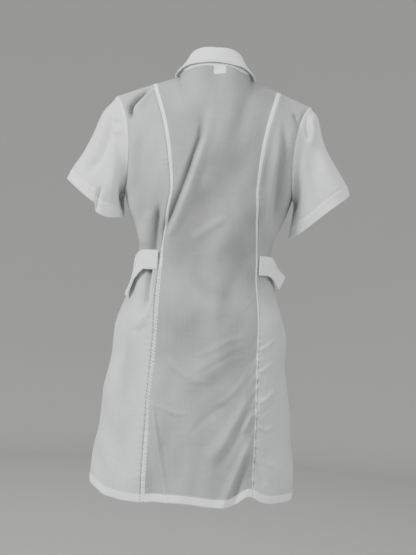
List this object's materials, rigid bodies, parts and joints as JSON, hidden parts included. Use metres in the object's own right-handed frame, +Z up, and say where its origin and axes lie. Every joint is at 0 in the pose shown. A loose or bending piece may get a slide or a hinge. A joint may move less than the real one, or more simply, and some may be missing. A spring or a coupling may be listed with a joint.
{
  "type": "lab coat",
  "caption": "Knee-length short-sleeved lab coat for women with princess seams, a notched collar, waist half belts and a buttoned front, hanging as worn.",
  "frame": {"origin": "midway between the two points where the shoulder seams meet the neck seam, level with them", "axes": "+Z up, -Y the way the front faces, +X the wearer's left"},
  "size_m": [0.6362, 0.3304, 0.9965],
  "materials": {
    "poplin": "matt plain-woven polyester-cotton",
    "interlining": "matt non-woven",
    "label": "satin tape",
    "button": "satin moulded plastic"
  },
  "bodies": {
    "coat": {"back_center_panel": "poplin", "back_side_panel_left": "poplin", "back_side_panel_right": "poplin", "front_side_panel_left": "poplin", "front_side_panel_right": "poplin", "front_chest_left": "poplin", "front_chest_right": "poplin", "lapel_left": "poplin", "lapel_right": "poplin", "under_collar": "poplin", "collar_interlining": "interlining", "upper_collar": "poplin", "neck_tape": "poplin", "hip_pocket_left": "poplin", "hip_pocket_right": "poplin", "breast_pocket": "poplin", "size_label": "label"},
    "front_left": {"front_panel_left": "poplin", "front_band_left": "poplin", "button_1": "button", "button_2": "button", "button_3": "button", "button_4": "button", "button_5": "button"},
    "front_right": {"front_panel_right": "poplin", "front_band_right": "poplin"},
    "sleeve_left": {"sleeve_left": "poplin"},
    "sleeve_right": {"sleeve_right": "poplin"},
    "half_belt_left": {"half_belt_left": "poplin"},
    "half_belt_right": {"half_belt_right": "poplin"}
  },
  "joints": [
    {"name": "front_right_swing", "type": "hinge", "parent": "coat", "child": "front_right", "pos_m": [-0.097, -0.136, -0.405], "axis": [0, 0, -1], "range_deg": [0, 65], "deforming": ["front_band_right"]},
    {"name": "front_left_swing", "type": "hinge", "parent": "coat", "child": "front_left", "pos_m": [0.097, -0.136, -0.405], "axis": [0, 0, 1], "range_deg": [0, 39]},
    {"name": "sleeve_left_raise", "type": "hinge", "parent": "coat", "child": "sleeve_left", "pos_m": [0.2192, 0, -0.0486], "axis": [0, -1, 0], "range_deg": [0, 45]},
    {"name": "sleeve_right_raise", "type": "hinge", "parent": "coat", "child": "sleeve_right", "pos_m": [-0.2192, 0, -0.0486], "axis": [0, 1, 0], "range_deg": [0, 45]},
    {"name": "half_belt_left_swing", "type": "hinge", "parent": "coat", "child": "half_belt_left", "pos_m": [0.1071, 0.08495, -0.414], "axis": [0, 0, 1], "range_deg": [0, 120]},
    {"name": "half_belt_right_swing", "type": "hinge", "parent": "coat", "child": "half_belt_right", "pos_m": [-0.1071, 0.08495, -0.414], "axis": [0, 0, -1], "range_deg": [0, 120]}
  ],
  "couplings": [
    {"joint": "front_left_swing", "follows": "front_right_swing", "ratio": 0.6}
  ]
}
